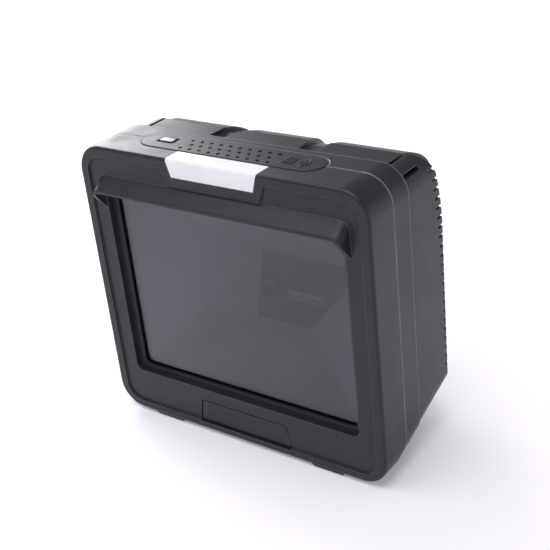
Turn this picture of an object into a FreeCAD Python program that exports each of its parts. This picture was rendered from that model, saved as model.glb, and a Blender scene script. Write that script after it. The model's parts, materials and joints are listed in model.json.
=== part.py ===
import FreeCAD, Part
import math
import os

# Upright presentation barcode scanner with a large reading window.
# Working frame, in millimetres: X to the right, Y back from the front face, Z up from the
# underside of the case.  The window faces -Y.  store() moves every piece so that the origin is
# the centre of the bounding box's bottom.

V = FreeCAD.Vector

# ---- driving dimensions -------------------------------------------------------------------
HEIGHT = 135.5
HALF_WIDTH = 75.0
DEPTH = 74.0
CORNER_R = 12.4
WALL = 2.4
FOOT_DROP = 1.3
HOOD_REACH = 5.5

SEAM_Y = 17.5            # front bezel meets middle shell
SHELL_END_Y = 31.0       # middle shell meets rear cover
SLOPE_START_Y = 12.0     # underside is flat in front of this and rises behind it
SLOPE = 0.35

FACE_THICKNESS = 3.4
FIELD_DEPTH = 1.0        # face inside the raised rim
FRONT_EDGE_R = 1.4

WINDOW_HALF = 62.5
WINDOW_LOW = 21.6
WINDOW_TOP = 117.7
WINDOW_R = 3.5
PACK_FRONT_Y = 4.4       # front of the frame, gasket and glass pack
FRAME_BACK_Y = 5.4
GASKET_BACK_Y = 5.6
GLASS_BACK_Y = 7.6
COLLAR_END_Y = 10.0
COLLAR_WALL = 2.7
PACK_STEP = 0.7          # the pack's pocket is this much larger than the window

SHOULDER_Z = 132.5       # top of the rear cover, below the middle shell's top
REAR_HALF = 74.5
REAR_CORNER_R = 10.2
LAND_DEPTH = 59.5        # the rear cover is shallower along its two sides
LAND_PLAN_R = 3.2
LAND_CROWN = (47.0, 62.0)    # y where its top starts to curve down, z where its back is upright
CORE_HALF = 62.9
CORE_CORNER_R = 3.0
CORE_PLAN_R = 7.0
CORE_CROWN = (41.0, 107.0)
PAD_DEPTH = 2.2          # the three pads across the crown stand this far above the grooves

PANEL_X = -1.9
PANEL_HALF = 46.9
PANEL_R = 8.0
PANEL_Y = 17.5
PANEL_RISE = 0.3
PANEL_GAP = 0.3

KEY_X = -36.2
KEY_Y = 17.8
KEY_TRAVEL = 0.6

HOLE_PITCH = 5.08
HOLE_R = 0.9
HOLE_X = -2.0
HOLE_Y = 16.8
SPEAKER_Y = 17.3
SPEAKER_R = 11.0

CAMERA_X = -8.0
CAMERA_Z = 57.0
FUNNEL_BACK_Y = 45.0

SOCKET_HALF = 8.0
SOCKET_LOW = 27.0
SOCKET_TOP = 40.0

INSERT_X = 40.0
INSERT_Z = (45.0, 95.0)
INSERT_R = 2.8
INSERT_BORE_R = 1.65

CASE_SCREWS = [(69.0, 27.0), (-69.0, 27.0), (69.0, 110.0), (-69.0, 110.0)]
CASE_BOSS_R = 3.4
CASE_PILOT_R = 1.55
CASE_PILOT_DEPTH = 6.5   # how far the pilot holes run into the front bezel
CASE_CLEAR_R = 1.7
CASE_WELL_R = 3.3        # wells for the screw heads in the rear cover
CASE_WELL_BOSS_R = 4.4
CASE_HEAD_Y = 41.5       # where the screw heads seat
SMALL_PILOT_R = 1.05     # pilot holes of the funnel and board screws
SMALL_BOSS_R = 2.7
FUNNEL_SCREWS = [(40.0, 15.5), (-40.0, 15.5), (54.0, 124.0), (-54.0, 124.0)]
BOARD_SCREWS = [(26.0, 39.0), (-26.0, 39.0), (26.0, 88.0), (-26.0, 88.0)]

FOOT_X = 45.0
FRONT_FOOT_Y = 5.0
FRONT_FOOT_HALF = (5.6, 2.6)
FRONT_FOOT_TOP = 0.85
FRONT_FOOT_GAP = 0.2
REAR_FOOT_Y = 43.0
REAR_FOOT_R = 4.7
REAR_FOOT_TOP = 0.3
LEG_R = (5.0, 6.5)       # legs above the rear feet, at the bottom and at the top
LEG_TALL = 15.0

MID_Y = (DEPTH - HOOD_REACH) / 2
PAST = 20.0              # how far a cutting tool runs past the case


# ---- helpers ------------------------------------------------------------------------------
def box(x, y, z):
    """Box from three (low, high) pairs."""
    return Part.makeBox(x[1] - x[0], y[1] - y[0], z[1] - z[0], V(x[0], y[0], z[0]))


def rod_y(x, z, radius, y0, y1):
    """Round bar along Y."""
    return Part.makeCylinder(radius, y1 - y0, V(x, y0, z), V(0, 1, 0))


def rod_z(x, y, radius, z0, z1):
    """Round bar along Z."""
    return Part.makeCylinder(radius, z1 - z0, V(x, y, z0), V(0, 0, 1))


def prism(points, along):
    """Polygon of 3-D points swept along a vector."""
    loop = Part.makePolygon([V(*p) for p in points + points[:1]])
    return Part.Face(loop).extrude(V(*along))


def trapezoid(low, top, y):
    """Corners at depth y of a trapezoid given as (half width, height) below and above."""
    return [(-low[0], y, low[1]), (low[0], y, low[1]), (top[0], y, top[1]), (-top[0], y, top[1])]


def round_wire(y, half, low, top, radius):
    """Rounded rectangle in the plane at depth y, centred on X."""
    diagonal = radius * math.sqrt(0.5)
    corners = [(half - radius, top - radius, 1, 1), (-half + radius, top - radius, -1, 1),
               (-half + radius, low + radius, -1, -1), (half - radius, low + radius, 1, -1)]
    arcs = []
    for x, z, sx, sz in corners:
        side = V(x + sx * radius, y, z)
        end = V(x, y, z + sz * radius)
        middle = V(x + sx * diagonal, y, z + sz * diagonal)
        first, last = (side, end) if sx * sz > 0 else (end, side)
        arcs.append(Part.Arc(first, middle, last).toShape())
    edges = []
    for i, arc in enumerate(arcs):
        following = arcs[(i + 1) % 4]
        edges.append(arc)
        edges.append(Part.makeLine(arc.Vertexes[-1].Point, following.Vertexes[0].Point))
    return Part.Wire(edges)


def slab(y, half, low, top, radius):
    """Rounded rectangle swept from y[0] to y[1]."""
    return Part.Face(round_wire(y[0], half, low, top, radius)).extrude(V(0, y[1] - y[0], 0))


def stadium(half, radius, z):
    """Plate with round ends, lying flat between z[0] and z[1]."""
    reach = half - radius
    straight = box((PANEL_X - reach, PANEL_X + reach), (PANEL_Y - radius, PANEL_Y + radius), z)
    ends = [rod_z(PANEL_X + side * reach, PANEL_Y, radius, *z) for side in (-1, 1)]
    return straight.multiFuse(ends).removeSplitter()


def edges_at(shape, y):
    """Edges that lie in the plane at depth y."""
    found = []
    for edge in shape.Edges:
        bounds = edge.BoundBox
        if abs(bounds.YMin - y) < 1e-4 and abs(bounds.YMax - y) < 1e-4:
            found.append(edge)
    return found


def faceted(points, faces):
    """Solid from named corner points and loops of their names."""
    shells = []
    for loop in faces:
        corners = [V(*points[name]) for name in loop]
        shells.append(Part.Face(Part.makePolygon(corners + corners[:1])))
    solid = Part.Solid(Part.Shell(shells))
    if solid.Volume < 0:
        solid.reverse()
    return solid


def fuse(first, *others):
    return first.multiFuse(list(others)).removeSplitter()


def store(name, shape):
    """Move a piece into the part's frame and write it."""
    placed = shape.copy()
    placed.translate(V(0, -MID_Y, FOOT_DROP))
    if not placed.isValid():
        raise ValueError(name + " is not a valid shape")
    placed.exportStep("parts/" + name + ".step")


# ---- case envelopes -----------------------------------------------------------------------
def underside_form(half, inset):
    """Everything above the underside, which is flat in front and rises behind."""
    outline = (half - inset, inset, HEIGHT + PAST, CORNER_R - inset)
    front = slab((-PAST, SLOPE_START_Y), *outline)
    run = DEPTH + PAST - SLOPE_START_Y
    back = Part.Face(round_wire(SLOPE_START_Y, *outline)).extrude(V(0, run, run * SLOPE))
    return fuse(front, back)


def case_form(y, inset):
    """The front two shells' outer form, moved in by inset."""
    body = slab(y, HALF_WIDTH - inset, -PAST, HEIGHT - inset, CORNER_R - inset)
    return body.common(underside_form(HALF_WIDTH, inset))


def crown_profile(crown, depth, top_inset, back_inset):
    """Side view of a rear block: level shoulder, curved crown, upright back."""
    crown_y, crown_z = crown
    top = SHOULDER_Z - top_inset
    back = depth - back_inset
    centre = V(0, crown_y, crown_z)
    tall = V(0, 0, top - crown_z)
    deep = V(0, back - crown_y, 0)
    if tall.Length > deep.Length:
        curve = Part.Ellipse(centre + tall, centre + deep, centre)
    else:
        curve = Part.Ellipse(centre + deep, centre + tall, centre)
    start, end = V(0, crown_y, top), V(0, back, crown_z)
    quarter = Part.Edge(curve, *sorted((curve.parameter(start), curve.parameter(end))))
    corners = [end, V(0, back, -PAST), V(0, SHELL_END_Y, -PAST), V(0, SHELL_END_Y, top), start]
    edges = [quarter]
    for a, b in zip(corners, corners[1:]):
        edges.append(Part.makeLine(a, b))
    return Part.Wire(Part.sortEdges(edges)[0])


def rear_profile(half, crown, depth, top_inset=0, back_inset=0):
    """The side view swept across the cover."""
    side = Part.Face(crown_profile(crown, depth, top_inset, back_inset)).extrude(V(2 * half, 0, 0))
    side.translate(V(-half, 0, 0))
    return side


def rear_block(half, crown, depth, radii, inset, top_inset):
    """A rear block moved in by inset; radii are those of its top and its upright corners."""
    corner_r, plan_r = radii
    outline = slab((SHELL_END_Y, depth), half - inset, -PAST, SHOULDER_Z - inset, corner_r - inset)
    plan = box((inset - half, half - inset), (0, depth - inset), (-PAST, HEIGHT))
    upright = []
    for edge in plan.Edges:
        bounds = edge.BoundBox
        if bounds.ZLength > HEIGHT and bounds.YMin > 1:
            upright.append(edge)
    plan = plan.makeFillet(plan_r - inset, upright)
    side = rear_profile(half, crown, depth, top_inset, inset)
    return side.common(outline).common(plan).common(underside_form(REAR_HALF, inset))


def rear_form(inset, top_inset):
    """The rear cover's form, moved in by inset, and by top_inset at the crown: the deep core
    and the shallower lands on both sides of it."""
    land = rear_block(REAR_HALF, LAND_CROWN, LAND_DEPTH, (REAR_CORNER_R, LAND_PLAN_R), inset, top_inset)
    core = rear_block(CORE_HALF, CORE_CROWN, DEPTH, (CORE_CORNER_R, CORE_PLAN_R), inset, top_inset)
    return land.fuse(core).removeSplitter()


# ---- front bezel and hood -----------------------------------------------------------------
LENS_TOP_HALF = 23.6
LENS_LOW_HALF = 21.3
LENS_LOW_Z = 127.5
LENS_BACK_Y = 9.2
LENS_THICK = 2.0
FIT_GAP = 0.15


def lens_form(grow):
    """Indicator lens wrapped over the front top edge, grown by a gap on its edges."""
    outline = trapezoid((LENS_LOW_HALF + grow, LENS_LOW_Z - grow), (LENS_TOP_HALF + grow, HEIGHT), 0)
    block = prism(outline, (0, LENS_BACK_Y + grow, 0))
    edge = [e for e in block.Edges if e.BoundBox.YMax < 1e-4 and e.BoundBox.ZMin > HEIGHT - 1e-4]
    return block.makeFillet(FRONT_EDGE_R, edge)


HOOD_BASE = (65.3, 122.3, 4.6)    # half width, top and corner radius where it meets the face
HOOD_LIP = (64.3, 117.3, 3.4)     # and at its lip
MOUTH_BASE = (62.7, 118.0, 3.0)   # the same for its hollow
MOUTH_LIP = (63.0, 115.6, 2.6)
HOOD_LOW = 20.0
HOOD_LIP_R = 0.6
CHEEK_LOW = (115.8, 105.0)        # lower edge of the cheeks, at the lip and at the face
FIELD_HALF = 70.3                 # shallow field inside the rim
FIELD_Z = (4.2, 130.9)
FIELD_R = 8.0
DIP_LOW = (24.0, 123.5)           # the rim's dip below the lens: half width and height
DIP_TOP = (26.8, 132.0)
RECESS_LOW = (26.3, 3.6)          # label recess under the window: half width and height
RECESS_TOP = (24.0, 15.7)
RECESS_DEPTH = 2.2
RECESS_R = 1.6
PLATE_Y = 1.3                     # blank plate inside it, and the groove left round the plate
PLATE_GROOVE = 0.8
BUMP_LOW = (7.0, -0.9)            # bumps round the front feet: half width and height
BUMP_TOP = (10.0, 1.4)
BUMP_Y = (0.3, 9.7)
BUMP_EDGE_R = 0.5


def tapered(y, first, last, low):
    """Rounded rectangle that changes from first to last between two depths."""
    wires = []
    for depth, (half, top, radius) in zip(y, (first, last)):
        wires.append(round_wire(depth, half, low, top, radius))
    return Part.makeLoft(wires, True, True)


def hood():
    """Visor above the window, with a three-cornered cheek at each end."""
    base_y = FIELD_DEPTH
    lip_y = -HOOD_REACH
    outer = tapered((base_y, lip_y), HOOD_BASE, HOOD_LIP, HOOD_LOW)
    inner = tapered((base_y + 1, lip_y - 1), MOUTH_BASE, MOUTH_LIP, HOOD_LOW / 2)
    visor = outer.makeFillet(HOOD_LIP_R, edges_at(outer, lip_y)).cut(inner)
    at_lip, at_face = CHEEK_LOW
    side_view = [(lip_y - 1, at_lip), (base_y + 1, at_face), (base_y + 1, 0), (lip_y - 1, 0)]
    below = prism([(-HALF_WIDTH, y, z) for y, z in side_view], (2 * HALF_WIDTH, 0, 0))
    return visor.cut(below)


def face_field():
    """Shallow field inside the raised rim; the rim dips below the indicator lens."""
    field = slab((-PAST, FIELD_DEPTH), FIELD_HALF, *FIELD_Z, FIELD_R)
    return field.cut(prism(trapezoid(DIP_LOW, DIP_TOP, -PAST), (0, 2 * PAST, 0)))


def plate_form(y, inset, radius):
    """Trapezoid block with round corners under the window, moved in by inset."""
    low = (RECESS_LOW[0] - inset, RECESS_LOW[1] + inset)
    top = (RECESS_TOP[0] - inset, RECESS_TOP[1] - inset)
    block = prism(trapezoid(low, top, y), (0, RECESS_DEPTH, 0))
    corners = [e for e in block.Edges if e.BoundBox.YLength > 1]
    return block.makeFillet(radius, corners)


def label_groove():
    """Recess under the window that leaves a blank plate standing in it."""
    plate = plate_form(PLATE_Y, PLATE_GROOVE, RECESS_R - PLATE_GROOVE)
    return plate_form(0, 0, RECESS_R).cut(plate)


def foot_bump(side):
    """Moulded bump under the front edge, round a front foot."""
    front, back = BUMP_Y
    bump = prism(trapezoid(BUMP_LOW, BUMP_TOP, front), (0, back - front, 0))
    under = [e for e in edges_at(bump, front) if e.BoundBox.ZMax < 0]
    bump = bump.makeFillet(BUMP_EDGE_R, under)
    bump.translate(V(side * FOOT_X, 0, 0))
    return bump


def panel_cut():
    """Opening for the top panel, shared by the front bezel and the middle shell."""
    grown = PANEL_GAP
    return stadium(PANEL_HALF + grown, PANEL_R + grown, (HEIGHT - 2 * WALL, HEIGHT + PAST))


def foot_pocket(side):
    """Pocket in the underside for a front foot."""
    half_x, half_y = [half + FRONT_FOOT_GAP for half in FRONT_FOOT_HALF]
    return box((side * FOOT_X - half_x, side * FOOT_X + half_x),
               (FRONT_FOOT_Y - half_y, FRONT_FOOT_Y + half_y), (-1, FRONT_FOOT_TOP + 0.05))


def front_bezel():
    outer = slab((0, SEAM_Y), HALF_WIDTH, 0, HEIGHT, CORNER_R)
    outer = outer.makeFillet(FRONT_EDGE_R, edges_at(outer, 0))
    outer = outer.common(case_form((-1, SEAM_Y), 0))
    cavity = case_form((FACE_THICKNESS, SEAM_Y + 1), WALL)
    body = outer.cut(cavity)
    collar = slab((FIELD_DEPTH, COLLAR_END_Y), WINDOW_HALF + COLLAR_WALL, WINDOW_LOW - COLLAR_WALL,
                  WINDOW_TOP + COLLAR_WALL, WINDOW_R + COLLAR_WALL)
    bosses = [rod_y(x, z, CASE_BOSS_R, FACE_THICKNESS - 1, SEAM_Y) for x, z in CASE_SCREWS]
    bosses += [rod_y(x, z, SMALL_BOSS_R, FACE_THICKNESS - 1, COLLAR_END_Y) for x, z in FUNNEL_SCREWS]
    body = body.cut(face_field())
    body = body.multiFuse([collar] + bosses).common(outer.cut(face_field()))
    body = body.multiFuse([hood()] + [foot_bump(side) for side in (-1, 1)])
    pocket = slab((PACK_FRONT_Y, COLLAR_END_Y + 1), WINDOW_HALF + PACK_STEP,
                  WINDOW_LOW - PACK_STEP, WINDOW_TOP + PACK_STEP, WINDOW_R + PACK_STEP)
    window = slab((-FIELD_DEPTH / 2, COLLAR_END_Y + 1), WINDOW_HALF, WINDOW_LOW, WINDOW_TOP, WINDOW_R)
    cuts = [pocket, window, label_groove(), lens_form(FIT_GAP), panel_cut()]
    cuts += [foot_pocket(side) for side in (-1, 1)]
    cuts += [rod_y(x, z, CASE_PILOT_R, SEAM_Y - CASE_PILOT_DEPTH, SEAM_Y + 1) for x, z in CASE_SCREWS]
    cuts += [rod_y(x, z, SMALL_PILOT_R, COLLAR_END_Y / 2, COLLAR_END_Y + 1) for x, z in FUNNEL_SCREWS]
    for cut in cuts:
        body = body.cut(cut)
    return body.removeSplitter()


# ---- middle shell and rear cover ----------------------------------------------------------
def middle_shell():
    groove = 0.35
    chamfer = 1.0
    outer = slab((SEAM_Y, SHELL_END_Y), HALF_WIDTH, -PAST, HEIGHT, CORNER_R)
    outer = outer.makeChamfer(groove, edges_at(outer, SEAM_Y))
    outer = outer.makeChamfer(chamfer, edges_at(outer, SHELL_END_Y))
    outer = outer.common(underside_form(HALF_WIDTH, 0))
    body = outer.cut(case_form((SEAM_Y - 1, SHELL_END_Y - 2), WALL))
    mouth = slab((SEAM_Y, SHELL_END_Y + 1), REAR_HALF - WALL, -PAST, SHOULDER_Z - WALL - PAD_DEPTH,
                 REAR_CORNER_R - WALL).common(underside_form(REAR_HALF, WALL))
    body = body.cut(mouth)
    tubes = [rod_y(x, z, CASE_BOSS_R, SEAM_Y, SHELL_END_Y) for x, z in CASE_SCREWS]
    body = body.multiFuse(tubes).common(outer)
    for x, z in CASE_SCREWS:
        body = body.cut(rod_y(x, z, CASE_CLEAR_R, SEAM_Y - 1, SHELL_END_Y + 1))
    return body.cut(panel_cut()).removeSplitter()


PAD_GAP_X = (19.0, 28.4)     # grooves between the middle pad and the outer ones
PAD_GAP_LOW = 114.0          # and how far down the back they reach
PAD_START_Y = 38.5
PAD_FLARE = 0.25             # the middle pad narrows by this much per mm towards the back
SIDE_GAP_X = 64.6            # narrow groove between the core and the land beside it
SIDE_GAP_LOW = 98.0
RIB_FIRST_Z = 31.2
RIB_PITCH = 4.5
RIB_COUNT = 22
RIB_GROOVE = 1.5
RIB_DEPTH = 0.7
RIB_WRAP = 4.5               # how far the grooves wrap round upright corners
CORE_RIBS_LOW = 43.0         # the core's back is plain below this and above its crown
CORNER_SLOT_X = 69.0
CORNER_SLOT_END_Y = 43.5
CORNER_SLOT_Z = (128.0, 129.9)
INSERT_BOSS_R = 4.6
INSERT_DEPTH = 8.0
BOARD_BOSS_R = 2.6
BOARD_BOSS_Y = 54.0
SOCKET_DEPTH = 13.7
SOCKET_WALL = 1.6            # sleeve round the socket
SOCKET_GAP = 0.2
LABEL_X = (20.0, 56.0)
LABEL_Z = (27.0, 36.0)
LABEL_DEPTH = 0.3


def pad_gaps(side):
    """Grooves over the crown on one side: beside the middle pad and beside the land."""
    near, far = PAD_GAP_X
    flared = near - PAD_FLARE * (DEPTH + 1 - PAD_START_Y)
    plan = [(near, 0), (far, 0), (far, DEPTH + 1), (flared, DEPTH + 1), (near, PAD_START_Y)]
    outline = [(side * x, y, PAD_GAP_LOW) for x, y in plan]
    wide = prism(outline, (0, 0, HEIGHT))
    x = sorted((side * (CORE_HALF - 0.1), side * SIDE_GAP_X))
    return [wide, box(x, (0, LAND_DEPTH + 1), (SIDE_GAP_LOW, HEIGHT))]


def rib_grooves():
    """Level grooves across the back that wrap round its upright corners."""
    bands = []
    core_edge = CORE_HALF + 1
    for i in range(RIB_COUNT):
        middle = RIB_FIRST_Z + i * RIB_PITCH
        z = (middle - RIB_GROOVE / 2, middle + RIB_GROOVE / 2)
        spans = [(-HALF_WIDTH, -core_edge), (core_edge, HALF_WIDTH)]
        if CORE_RIBS_LOW < middle < CORE_CROWN[1]:
            spans = [(-HALF_WIDTH, HALF_WIDTH)]
        bands += [box(x, (LAND_CROWN[0] - RIB_WRAP, DEPTH + 1), z) for x in spans]
    land = rear_profile(HALF_WIDTH, LAND_CROWN, LAND_DEPTH)
    core = rear_profile(core_edge, CORE_CROWN, DEPTH)
    ahead = land.fuse(core)
    ahead.translate(V(0, -RIB_WRAP, 0))
    return Part.makeCompound(bands).cut(rear_form(RIB_DEPTH, RIB_DEPTH)).cut(ahead)


def corner_slot(side):
    """Slot along the top corner, just behind the middle shell."""
    x = sorted((side * CORNER_SLOT_X, side * HALF_WIDTH))
    return box(x, (SHELL_END_Y - 1, CORNER_SLOT_END_Y), CORNER_SLOT_Z)


def socket_block(grow, y):
    """Block round the socket, grown sideways and up and down."""
    return box((-SOCKET_HALF - grow, SOCKET_HALF + grow), y, (SOCKET_LOW - grow, SOCKET_TOP + grow))


def label_pocket():
    """Shallow pocket for the blank rating label."""
    return box(LABEL_X, (DEPTH - LABEL_DEPTH, DEPTH + 1), LABEL_Z)


def rear_cover():
    form = rear_form(0, 0)
    floor = rear_form(0, PAD_DEPTH)
    cavity = rear_form(WALL, PAD_DEPTH + WALL)
    outer = form
    for side in (-1, 1):
        for gap in pad_gaps(side):
            outer = outer.cut(gap.cut(floor))
    inserts = [(x, z) for x in (INSERT_X, -INSERT_X) for z in INSERT_Z]
    insert_front = DEPTH - INSERT_DEPTH
    bosses = [rod_y(x, z, CASE_WELL_BOSS_R, SHELL_END_Y, LAND_DEPTH) for x, z in CASE_SCREWS]
    bosses += [rod_y(x, z, INSERT_BOSS_R, insert_front - 1.5, DEPTH) for x, z in inserts]
    bosses += [rod_y(x, z, BOARD_BOSS_R, BOARD_BOSS_Y, DEPTH) for x, z in BOARD_SCREWS]
    bosses.append(socket_block(SOCKET_WALL, (DEPTH - SOCKET_DEPTH - 0.3, DEPTH - 1)))
    inside = [boss.common(floor) for boss in bosses]
    legs = []
    for side in (-1, 1):
        foot = V(side * FOOT_X, REAR_FOOT_Y, REAR_FOOT_TOP)
        legs.append(Part.makeCone(*LEG_R, LEG_TALL, foot, V(0, 0, 1)).cut(cavity))
    body = outer.cut(cavity).multiFuse(inside).cut(rib_grooves()).multiFuse(legs)
    cuts = [socket_block(SOCKET_GAP, (DEPTH - SOCKET_DEPTH - PAST, DEPTH + 1)), label_pocket()]
    for x, z in CASE_SCREWS:
        cuts.append(rod_y(x, z, CASE_CLEAR_R, SHELL_END_Y - 1, DEPTH))
        cuts.append(rod_y(x, z, CASE_WELL_R, CASE_HEAD_Y, LAND_DEPTH + 1))
    cuts += [rod_y(x, z, INSERT_R, insert_front, DEPTH + 1) for x, z in inserts]
    cuts += [rod_y(x, z, SMALL_PILOT_R, BOARD_BOSS_Y - 1, DEPTH - 1) for x, z in BOARD_SCREWS]
    cuts += [corner_slot(side) for side in (-1, 1)]
    for cut in cuts:
        body = body.cut(cut)
    return body.removeSplitter()


# ---- window pack --------------------------------------------------------------------------
PACK_CLEAR = 0.2         # between the pack's edges and its pocket


FRAME_OPENING = (59.8, 23.2, 115.6, 3.6)     # half width, bottom, top, corner radius
GASKET_OPENING = (60.2, 23.6, 115.2, 3.4)


def window_plate(y):
    """Plate that fills the window pocket between two depths."""
    step = PACK_STEP - PACK_CLEAR
    return slab(y, WINDOW_HALF + step, WINDOW_LOW - step, WINDOW_TOP + step, WINDOW_R + step)


def window_frame():
    y = (PACK_FRONT_Y, FRAME_BACK_Y)
    return window_plate(y).cut(slab((y[0] - 1, y[1] + 1), *FRAME_OPENING))


def window_gasket():
    y = (FRAME_BACK_Y, GASKET_BACK_Y)
    return window_plate(y).cut(slab((y[0] - 1, y[1] + 1), *GASKET_OPENING))


def window_glass():
    return window_plate((GASKET_BACK_Y, GLASS_BACK_Y))


# ---- funnel behind the window -------------------------------------------------------------
FUNNEL_WALL = 1.5
FUNNEL_FRONT = (59.2, 24.4, 114.6)       # half width, bottom and top of its wide end
FUNNEL_BACK_Z = (39.0, 66.0, 76.0)       # bottom, side corner and top of its narrow end
FUNNEL_BACK_LOW_X = (-20.0, 11.0)
FUNNEL_BACK_TOP_X = (-12.0, 33.0)
FLANGE_Y = (COLLAR_END_Y, COLLAR_END_Y + 1.5)
FLANGE_STEP = 1.5
EAR_HALF = 4.0
EAR_REACH = 3.2
FUNNEL_CLEAR_R = 1.2


def funnel_faces(front, back_y, grow, front_y):
    """Five-sided funnel: a wide front rectangle narrows to the dark camera opening."""
    half, low, top = front
    back_low, back_side, back_top = FUNNEL_BACK_Z
    low_left, low_right = FUNNEL_BACK_LOW_X
    top_left, top_right = FUNNEL_BACK_TOP_X
    points = {
        "low left": (-half, front_y, low), "low right": (half, front_y, low),
        "top right": (half, front_y, top), "top left": (-half, front_y, top),
        "back top left": (top_left - grow, back_y, back_top + grow),
        "back low left": (low_left - grow, back_y, back_low - grow),
        "back low right": (low_right + grow, back_y, back_low - grow),
        "back right": (top_right + grow, back_y, back_side),
        "back top right": (top_right + grow, back_y, back_top + grow)}
    faces = [
        ("low left", "low right", "top right", "top left"),
        ("back top left", "back top right", "back right", "back low right", "back low left"),
        ("low left", "low right", "back low right", "back low left"),
        ("low right", "back right", "back low right"),
        ("low right", "top right", "back top right", "back right"),
        ("top right", "top left", "back top left", "back top right"),
        ("top left", "low left", "back top left"),
        ("low left", "back low left", "back top left")]
    return faceted(points, faces)


def optical_funnel():
    half, low, top = FUNNEL_FRONT
    around = (half + 2, low - 2, top + 2)
    outside = funnel_faces(around, FUNNEL_BACK_Y, FUNNEL_WALL + 0.5, GLASS_BACK_Y)
    inside = funnel_faces(FUNNEL_FRONT, FUNNEL_BACK_Y + 0.01, 0, GLASS_BACK_Y - 0.01)
    rim = window_plate((GLASS_BACK_Y, COLLAR_END_Y))
    flange = slab(FLANGE_Y, WINDOW_HALF + FLANGE_STEP, WINDOW_LOW - FLANGE_STEP,
                  WINDOW_TOP + FLANGE_STEP, WINDOW_R + FLANGE_STEP)
    ears = []
    for x, z in FUNNEL_SCREWS:
        reach = (z - EAR_REACH, WINDOW_LOW) if z < CAMERA_Z else (WINDOW_TOP, z + EAR_REACH)
        ears.append(box((x - EAR_HALF, x + EAR_HALF), FLANGE_Y, reach))
    body = outside.multiFuse([rim, flange] + ears).cut(inside)
    for x, z in FUNNEL_SCREWS:
        body = body.cut(rod_y(x, z, FUNNEL_CLEAR_R, FLANGE_Y[0] - 1, FLANGE_Y[1] + 1))
    return body.removeSplitter()


CASE_SCREW = (29.0, 1.5, 2.9, 2.4)       # shank length and radius, head radius and height
FUNNEL_SCREW = (6.0, 1.0, 2.0, 1.4)
BOARD_SCREW = (4.2, 1.0, 1.9, 1.4)


def pan_screws(places, seat_y, size, backward=False):
    """Group of screws with heads seated at one depth; shanks run forward, or backward."""
    length, shank_r, head_r, head_tall = size
    group = []
    for x, z in places:
        top = seat_y + head_tall
        head = rod_y(x, z, head_r, seat_y, top)
        head = head.makeFillet(head_tall * 0.35, edges_at(head, top))
        recess = rod_y(x, z, head_r * 0.45, seat_y + head_tall * 0.4, top + 1)
        screw = head.fuse(rod_y(x, z, shank_r, seat_y - length, seat_y)).cut(recess)
        if backward:
            screw = screw.mirror(V(0, seat_y, 0), V(0, 1, 0))
        group.append(screw.removeSplitter())
    return Part.makeCompound(group)


# ---- camera and lamps ---------------------------------------------------------------------
HOUSING_Y = (FUNNEL_BACK_Y + 0.2, FUNNEL_BACK_Y + 4.8)
SENSOR_BOARD_Y = (HOUSING_Y[1], HOUSING_Y[1] + 1.0)
HOUSING_X = 6.5
HOUSING_HALF = 28.6
HOUSING_Z = (36.5, 78.5)
HOUSING_R = 2.0
BARREL_R = 5.2
BARREL_FRONT_Y = FUNNEL_BACK_Y - 4.0
BARREL_SEAT = 2.5        # how far the barrel sinks into the housing
LENS_R = 2.95
LAMP_X = (0.0, 21.4)
LAMP_Z = 55.5
LAMP_HALF = 2.5
LAMP_GAP = 0.2
LAMP_COUNT = 6


def camera_housing():
    front, back = HOUSING_Y
    block = slab(HOUSING_Y, HOUSING_HALF, *HOUSING_Z, HOUSING_R)
    block.translate(V(HOUSING_X, 0, 0))
    pocket = rod_y(CAMERA_X, CAMERA_Z, 3.4, front + 2, back + 1)
    bore = rod_y(CAMERA_X, CAMERA_Z, BARREL_R + 0.05, front - 1, front + BARREL_SEAT)
    lamp = box((LAMP_X[0] - LAMP_GAP, LAMP_X[1] + LAMP_GAP), (front - 1, front + 2.6),
               (LAMP_Z - LAMP_HALF - LAMP_GAP, LAMP_Z + LAMP_HALF + LAMP_GAP))
    return block.cut(pocket).cut(bore).cut(lamp).removeSplitter()


def lens_barrel():
    """Stepped barrel: a flared mouth, a seat for the lens and a narrower way through."""
    barrel = rod_y(CAMERA_X, CAMERA_Z, BARREL_R, BARREL_FRONT_Y, HOUSING_Y[0] + BARREL_SEAT)
    barrel = barrel.makeChamfer(0.6, edges_at(barrel, BARREL_FRONT_Y))
    mouth = Part.makeCone(3.6, 2.6, 1.5, V(CAMERA_X, BARREL_FRONT_Y, CAMERA_Z), V(0, 1, 0))
    seat = rod_y(CAMERA_X, CAMERA_Z, LENS_R + 0.05, BARREL_FRONT_Y + 1.5, FUNNEL_BACK_Y + 0.7)
    through = rod_y(CAMERA_X, CAMERA_Z, 2.2, FUNNEL_BACK_Y, HOUSING_Y[1])
    return barrel.cut(mouth).cut(seat).cut(through)


def camera_lens():
    dome = Part.makeSphere(2 * LENS_R + 0.1, V(CAMERA_X, FUNNEL_BACK_Y + 4.2, CAMERA_Z))
    body = rod_y(CAMERA_X, CAMERA_Z, LENS_R, FUNNEL_BACK_Y - 2.2, FUNNEL_BACK_Y + 0.6)
    return body.common(dome)


def image_sensor():
    return box((CAMERA_X - 2.2, CAMERA_X + 2.2), (SENSOR_BOARD_Y[0] - 1.0, SENSOR_BOARD_Y[0]),
               (CAMERA_Z - 2.0, CAMERA_Z + 2.0))


def sensor_board():
    return box((CAMERA_X - 12, CAMERA_X + 40), SENSOR_BOARD_Y, (CAMERA_Z - 16, CAMERA_Z + 16))


def lamp_board():
    return box(LAMP_X, (HOUSING_Y[0] + 1.8, HOUSING_Y[0] + 2.6), (LAMP_Z - LAMP_HALF, LAMP_Z + LAMP_HALF))


def lamp_leds():
    pitch = (LAMP_X[1] - LAMP_X[0]) / LAMP_COUNT
    half = 0.8
    chips = []
    for i in range(LAMP_COUNT):
        x = LAMP_X[0] + (i + 0.5) * pitch
        chips.append(box((x - half, x + half), (HOUSING_Y[0] + 1.2, HOUSING_Y[0] + 1.8),
                         (LAMP_Z - half, LAMP_Z + half)))
    return Part.makeCompound(chips)


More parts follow.
